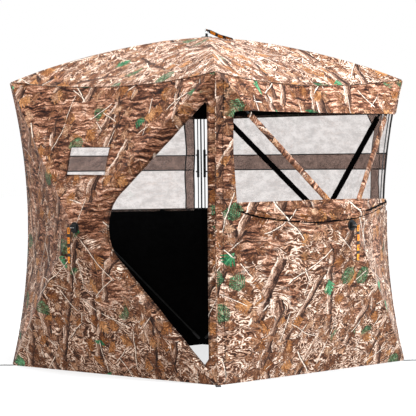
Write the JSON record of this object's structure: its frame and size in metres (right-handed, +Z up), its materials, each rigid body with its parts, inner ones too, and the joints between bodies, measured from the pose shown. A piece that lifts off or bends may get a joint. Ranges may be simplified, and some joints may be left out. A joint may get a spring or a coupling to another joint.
{
  "type": "pop up ground blind",
  "caption": "Square hub-style pop up ground blind with camouflage cloth walls, mesh back windows, an open doorway and pull-out hubs on pivoting poles.",
  "frame": {"origin": "on the ground, under the middle of the blind", "axes": "+Z up; -Y faces the open front window, -X faces the doorway"},
  "size_m": [1.9778, 1.9778, 1.7269],
  "materials": {
    "camo_cloth": "printed woodland camouflage polyester, black inside",
    "window_mesh": "printed see-through mesh",
    "black_cloth": "black polyester",
    "black_webbing": "black elastic webbing",
    "camo_webbing": "camouflage webbing",
    "strap_webbing": "black webbing with an orange woven dash pattern",
    "black_plastic": "moulded black nylon",
    "pole_fibreglass": "black fibreglass rod",
    "steel": "plated steel"
  },
  "bodies": {
    "shell": {"roof_panel": "camo_cloth", "window_wall": "camo_cloth", "right_back_wall": "camo_cloth", "left_back_wall": "camo_cloth", "door_wall": "camo_cloth", "right_back_mesh": "window_mesh", "left_back_mesh": "window_mesh", "window_cover": "camo_cloth", "door_flap_roll": "camo_cloth", "corner_webbing": "black_webbing", "webbing_cleats": "black_plastic", "pole_pockets": "black_cloth", "stake_tabs": "camo_webbing", "stake_grommets": "steel"},
    "window_hub": {"window_hub_body": "black_plastic", "window_hub_plate": "black_plastic", "window_hub_hardware": "steel"},
    "window_lower_left_pole": {"window_pole_lower_left": "pole_fibreglass"},
    "window_lower_right_pole": {"window_pole_lower_right": "pole_fibreglass"},
    "window_upper_right_pole": {"window_pole_upper_right": "pole_fibreglass", "window_sleeve_upper_right": "camo_cloth"},
    "window_upper_left_pole": {"window_pole_upper_left": "pole_fibreglass", "window_sleeve_upper_left": "camo_cloth"},
    "window_strap": {"window_pull_strap": "strap_webbing"},
    "right_back_hub": {"right_back_hub_body": "black_plastic", "right_back_hub_plate": "black_plastic", "right_back_hub_hardware": "steel"},
    "right_back_lower_left_pole": {"right_back_pole_lower_left": "pole_fibreglass"},
    "right_back_lower_right_pole": {"right_back_pole_lower_right": "pole_fibreglass"},
    "right_back_upper_right_pole": {"right_back_pole_upper_right": "pole_fibreglass", "right_back_sleeve_upper_right": "black_cloth"},
    "right_back_upper_left_pole": {"right_back_pole_upper_left": "pole_fibreglass", "right_back_sleeve_upper_left": "black_cloth"},
    "right_back_strap": {"right_back_pull_strap": "strap_webbing"},
    "left_back_hub": {"left_back_hub_body": "black_plastic", "left_back_hub_plate": "black_plastic", "left_back_hub_hardware": "steel"},
    "left_back_lower_left_pole": {"left_back_pole_lower_left": "pole_fibreglass"},
    "left_back_lower_right_pole": {"left_back_pole_lower_right": "pole_fibreglass"},
    "left_back_upper_right_pole": {"left_back_pole_upper_right": "pole_fibreglass", "left_back_sleeve_upper_right": "black_cloth"},
    "left_back_upper_left_pole": {"left_back_pole_upper_left": "pole_fibreglass", "left_back_sleeve_upper_left": "black_cloth"},
    "left_back_strap": {"left_back_pull_strap": "strap_webbing"},
    "door_hub": {"door_hub_body": "black_plastic", "door_hub_plate": "black_plastic", "door_hub_hardware": "steel"},
    "door_lower_left_pole": {"door_pole_lower_left": "pole_fibreglass"},
    "door_lower_right_pole": {"door_pole_lower_right": "pole_fibreglass"},
    "door_upper_right_pole": {"door_pole_upper_right": "pole_fibreglass"},
    "door_upper_left_pole": {"door_pole_upper_left": "pole_fibreglass"},
    "door_strap": {"door_pull_strap": "strap_webbing"},
    "roof_hub": {"roof_hub_body": "black_plastic", "roof_hub_plate": "black_plastic", "roof_hub_hardware": "steel"},
    "roof_near_pole": {"roof_pole_near": "pole_fibreglass"},
    "roof_right_pole": {"roof_pole_right": "pole_fibreglass"},
    "roof_far_pole": {"roof_pole_far": "pole_fibreglass"},
    "roof_left_pole": {"roof_pole_left": "pole_fibreglass"},
    "roof_strap": {"roof_pull_strap": "strap_webbing"}
  },
  "joints": [
    {"name": "window_hub_push", "type": "slide", "parent": "shell", "child": "window_hub", "axis": [0, 1, 0], "range_m": [0, 0.44], "stiffness_N_per_m": 300, "springref_m": -0.08, "deforming": ["window_wall", "window_cover", "pole_pockets"]},
    {"name": "window_lower_left_pole_pivot", "type": "hinge", "parent": "window_hub", "child": "window_lower_left_pole", "pos_m": [-0.02381, -0.929, 0.70473], "axis": [-0.7139, 0, 0.7002], "range_deg": [0, 28]},
    {"name": "window_lower_right_pole_pivot", "type": "hinge", "parent": "window_hub", "child": "window_lower_right_pole", "pos_m": [0.02381, -0.929, 0.70473], "axis": [-0.7139, 0, -0.7002], "range_deg": [0, 28]},
    {"name": "window_upper_right_pole_pivot", "type": "hinge", "parent": "window_hub", "child": "window_upper_right_pole", "pos_m": [0.02381, -0.929, 0.75327], "axis": [0.7139, 0, -0.7002], "range_deg": [0, 28]},
    {"name": "window_upper_left_pole_pivot", "type": "hinge", "parent": "window_hub", "child": "window_upper_left_pole", "pos_m": [-0.02381, -0.929, 0.75327], "axis": [0.7139, 0, 0.7002], "range_deg": [0, 28]},
    {"name": "window_strap_swing", "type": "hinge", "parent": "window_hub", "child": "window_strap", "pos_m": [0, -0.983, 0.729], "axis": [-1, 0, 0], "range_deg": [-8, 120]},
    {"name": "right_back_hub_push", "type": "slide", "parent": "shell", "child": "right_back_hub", "axis": [-1, 0, 0], "range_m": [0, 0.44], "stiffness_N_per_m": 300, "springref_m": -0.08, "deforming": ["right_back_wall", "right_back_mesh", "pole_pockets"]},
    {"name": "right_back_lower_left_pole_pivot", "type": "hinge", "parent": "right_back_hub", "child": "right_back_lower_left_pole", "pos_m": [0.929, -0.02381, 0.70473], "axis": [0, -0.7139, 0.7002], "range_deg": [0, 28]},
    {"name": "right_back_lower_right_pole_pivot", "type": "hinge", "parent": "right_back_hub", "child": "right_back_lower_right_pole", "pos_m": [0.929, 0.02381, 0.70473], "axis": [0, -0.7139, -0.7002], "range_deg": [0, 28]},
    {"name": "right_back_upper_right_pole_pivot", "type": "hinge", "parent": "right_back_hub", "child": "right_back_upper_right_pole", "pos_m": [0.929, 0.02381, 0.75327], "axis": [0, 0.7139, -0.7002], "range_deg": [0, 28]},
    {"name": "right_back_upper_left_pole_pivot", "type": "hinge", "parent": "right_back_hub", "child": "right_back_upper_left_pole", "pos_m": [0.929, -0.02381, 0.75327], "axis": [0, 0.7139, 0.7002], "range_deg": [0, 28]},
    {"name": "right_back_strap_swing", "type": "hinge", "parent": "right_back_hub", "child": "right_back_strap", "pos_m": [0.983, 0, 0.729], "axis": [0, -1, 0], "range_deg": [-8, 120]},
    {"name": "left_back_hub_push", "type": "slide", "parent": "shell", "child": "left_back_hub", "axis": [0, -1, 0], "range_m": [0, 0.44], "stiffness_N_per_m": 300, "springref_m": -0.08, "deforming": ["left_back_wall", "left_back_mesh", "pole_pockets"]},
    {"name": "left_back_lower_left_pole_pivot", "type": "hinge", "parent": "left_back_hub", "child": "left_back_lower_left_pole", "pos_m": [0.02381, 0.929, 0.70473], "axis": [0.7139, 0, 0.7002], "range_deg": [0, 28]},
    {"name": "left_back_lower_right_pole_pivot", "type": "hinge", "parent": "left_back_hub", "child": "left_back_lower_right_pole", "pos_m": [-0.02381, 0.929, 0.70473], "axis": [0.7139, 0, -0.7002], "range_deg": [0, 28]},
    {"name": "left_back_upper_right_pole_pivot", "type": "hinge", "parent": "left_back_hub", "child": "left_back_upper_right_pole", "pos_m": [-0.02381, 0.929, 0.75327], "axis": [-0.7139, 0, -0.7002], "range_deg": [0, 28]},
    {"name": "left_back_upper_left_pole_pivot", "type": "hinge", "parent": "left_back_hub", "child": "left_back_upper_left_pole", "pos_m": [0.02381, 0.929, 0.75327], "axis": [-0.7139, 0, 0.7002], "range_deg": [0, 28]},
    {"name": "left_back_strap_swing", "type": "hinge", "parent": "left_back_hub", "child": "left_back_strap", "pos_m": [0, 0.983, 0.729], "axis": [1, 0, 0], "range_deg": [-8, 120]},
    {"name": "door_hub_push", "type": "slide", "parent": "shell", "child": "door_hub", "axis": [1, 0, 0], "range_m": [0, 0.44], "stiffness_N_per_m": 300, "springref_m": -0.08, "deforming": ["door_wall", "pole_pockets"]},
    {"name": "door_lower_left_pole_pivot", "type": "hinge", "parent": "door_hub", "child": "door_lower_left_pole", "pos_m": [-0.929, 0.02381, 0.70473], "axis": [0, 0.7139, 0.7002], "range_deg": [0, 28]},
    {"name": "door_lower_right_pole_pivot", "type": "hinge", "parent": "door_hub", "child": "door_lower_right_pole", "pos_m": [-0.929, -0.02381, 0.70473], "axis": [0, 0.7139, -0.7002], "range_deg": [0, 28]},
    {"name": "door_upper_right_pole_pivot", "type": "hinge", "parent": "door_hub", "child": "door_upper_right_pole", "pos_m": [-0.929, -0.02381, 0.75327], "axis": [0, -0.7139, -0.7002], "range_deg": [0, 28]},
    {"name": "door_upper_left_pole_pivot", "type": "hinge", "parent": "door_hub", "child": "door_upper_left_pole", "pos_m": [-0.929, 0.02381, 0.75327], "axis": [0, -0.7139, 0.7002], "range_deg": [0, 28]},
    {"name": "door_strap_swing", "type": "hinge", "parent": "door_hub", "child": "door_strap", "pos_m": [-0.983, 0, 0.729], "axis": [0, 1, 0], "range_deg": [-8, 120]},
    {"name": "roof_hub_push", "type": "slide", "parent": "shell", "child": "roof_hub", "axis": [0, 0, -1], "range_m": [0, 0.44], "stiffness_N_per_m": 300, "springref_m": -0.08, "deforming": ["roof_panel", "pole_pockets"]},
    {"name": "roof_near_pole_pivot", "type": "hinge", "parent": "roof_hub", "child": "roof_near_pole", "pos_m": [-0.02404, -0.02404, 1.667], "axis": [-0.7071, 0.7071, 0], "range_deg": [0, 28]},
    {"name": "roof_right_pole_pivot", "type": "hinge", "parent": "roof_hub", "child": "roof_right_pole", "pos_m": [0.02404, -0.02404, 1.667], "axis": [-0.7071, -0.7071, 0], "range_deg": [0, 28]},
    {"name": "roof_far_pole_pivot", "type": "hinge", "parent": "roof_hub", "child": "roof_far_pole", "pos_m": [0.02404, 0.02404, 1.667], "axis": [0.7071, -0.7071, 0], "range_deg": [0, 28]},
    {"name": "roof_left_pole_pivot", "type": "hinge", "parent": "roof_hub", "child": "roof_left_pole", "pos_m": [-0.02404, 0.02404, 1.667], "axis": [0.7071, 0.7071, 0], "range_deg": [0, 28]},
    {"name": "roof_strap_swing", "type": "hinge", "parent": "roof_hub", "child": "roof_strap", "pos_m": [0, 0, 1.721], "axis": [-0.9397, -0.342, 0], "range_deg": [0, 150]}
  ],
  "couplings": [
    {"joint": "window_lower_left_pole_pivot", "follows": "window_hub_push", "rad_per_m": 1.0644},
    {"joint": "window_lower_right_pole_pivot", "follows": "window_hub_push", "rad_per_m": 1.0644},
    {"joint": "window_upper_right_pole_pivot", "follows": "window_hub_push", "rad_per_m": 1.0644},
    {"joint": "window_upper_left_pole_pivot", "follows": "window_hub_push", "rad_per_m": 1.0644},
    {"joint": "right_back_lower_left_pole_pivot", "follows": "right_back_hub_push", "rad_per_m": 1.0644},
    {"joint": "right_back_lower_right_pole_pivot", "follows": "right_back_hub_push", "rad_per_m": 1.0644},
    {"joint": "right_back_upper_right_pole_pivot", "follows": "right_back_hub_push", "rad_per_m": 1.0644},
    {"joint": "right_back_upper_left_pole_pivot", "follows": "right_back_hub_push", "rad_per_m": 1.0644},
    {"joint": "left_back_lower_left_pole_pivot", "follows": "left_back_hub_push", "rad_per_m": 1.0644},
    {"joint": "left_back_lower_right_pole_pivot", "follows": "left_back_hub_push", "rad_per_m": 1.0644},
    {"joint": "left_back_upper_right_pole_pivot", "follows": "left_back_hub_push", "rad_per_m": 1.0644},
    {"joint": "left_back_upper_left_pole_pivot", "follows": "left_back_hub_push", "rad_per_m": 1.0644},
    {"joint": "door_lower_left_pole_pivot", "follows": "door_hub_push", "rad_per_m": 1.0644},
    {"joint": "door_lower_right_pole_pivot", "follows": "door_hub_push", "rad_per_m": 1.0644},
    {"joint": "door_upper_right_pole_pivot", "follows": "door_hub_push", "rad_per_m": 1.0644},
    {"joint": "door_upper_left_pole_pivot", "follows": "door_hub_push", "rad_per_m": 1.0644},
    {"joint": "roof_near_pole_pivot", "follows": "roof_hub_push", "rad_per_m": 1.0765},
    {"joint": "roof_right_pole_pivot", "follows": "roof_hub_push", "rad_per_m": 1.0765},
    {"joint": "roof_far_pole_pivot", "follows": "roof_hub_push", "rad_per_m": 1.0765},
    {"joint": "roof_left_pole_pivot", "follows": "roof_hub_push", "rad_per_m": 1.0765}
  ]
}
